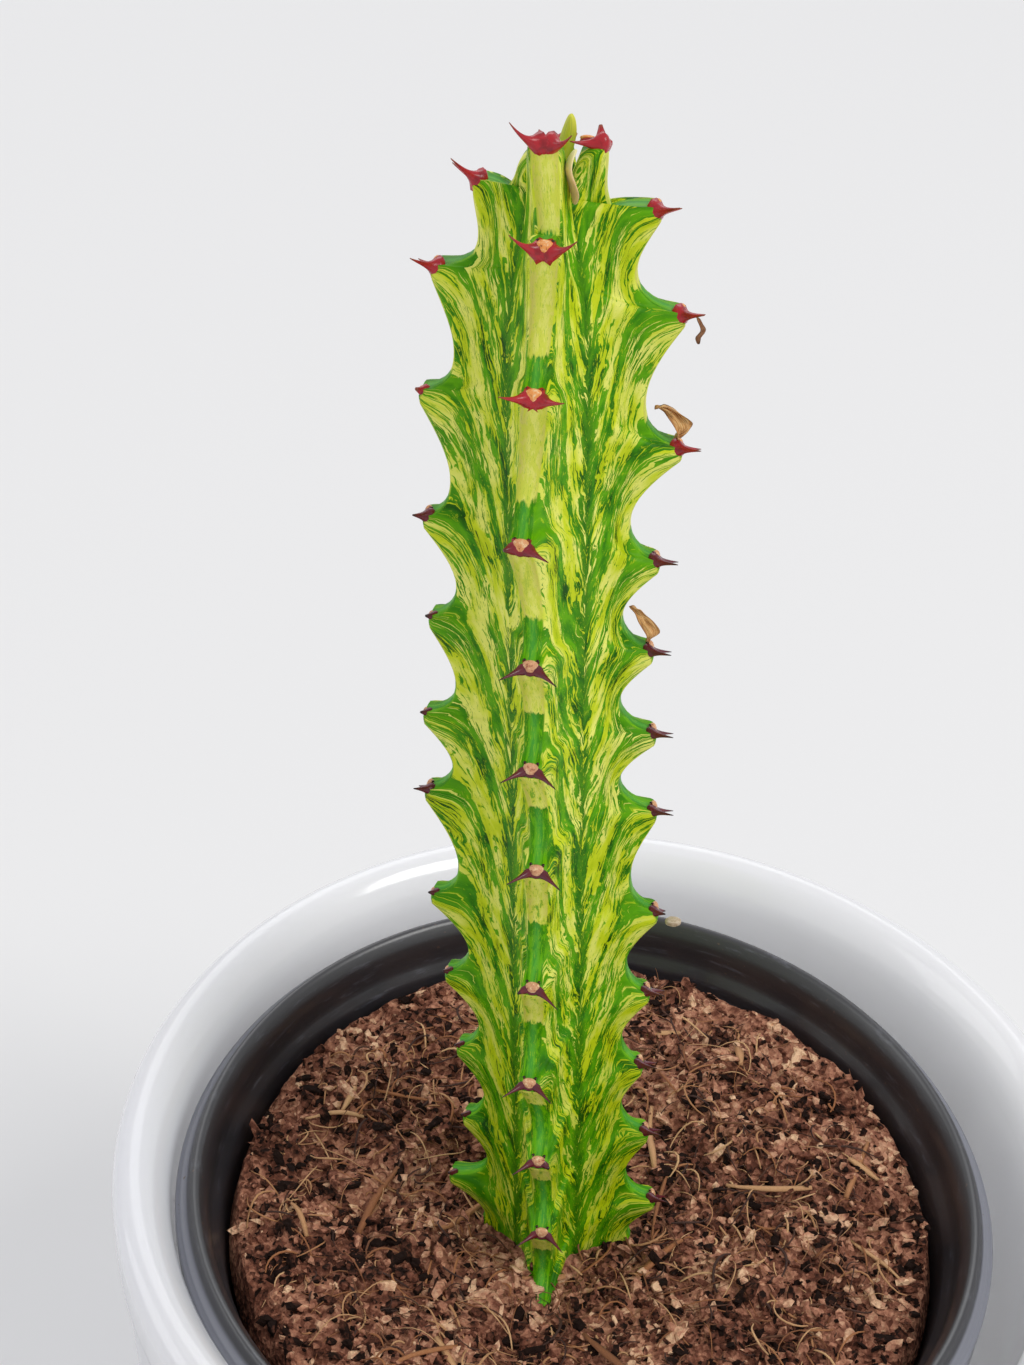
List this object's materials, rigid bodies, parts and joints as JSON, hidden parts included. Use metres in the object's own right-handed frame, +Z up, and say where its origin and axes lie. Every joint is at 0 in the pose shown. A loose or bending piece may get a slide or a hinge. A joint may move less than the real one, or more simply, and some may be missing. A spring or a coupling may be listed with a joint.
{
  "type": "potted african milk tree",
  "caption": "Young variegated ribbed succulent with red paired spines, rooted in a black nursery pot that stands loosely in a glossy white cover pot.",
  "frame": {"origin": "centre of the white cover pot's underside, on the surface that it stands on", "axes": "+Z up along the plant, +X to the picture's right, +Y away from the camera"},
  "size_m": [0.126, 0.126, 0.2431],
  "materials": {
    "white_glaze": "gloss",
    "black_plastic": "satin",
    "potting_mix": "matte",
    "stem_flesh": "satin",
    "young_leaf_flesh": "satin",
    "dried_leaf": "matte"
  },
  "bodies": {
    "root": {"cover_pot": "white_glaze", "nursery_pot": "black_plastic", "soil": "potting_mix", "stem": "stem_flesh", "tip_leaf": "young_leaf_flesh", "young_leaf": "young_leaf_flesh", "dried_leaf_upper": "dried_leaf", "dried_leaf_lower": "dried_leaf", "dried_scrap": "dried_leaf", "dried_bud": "dried_leaf"}
  },
  "joints": []
}
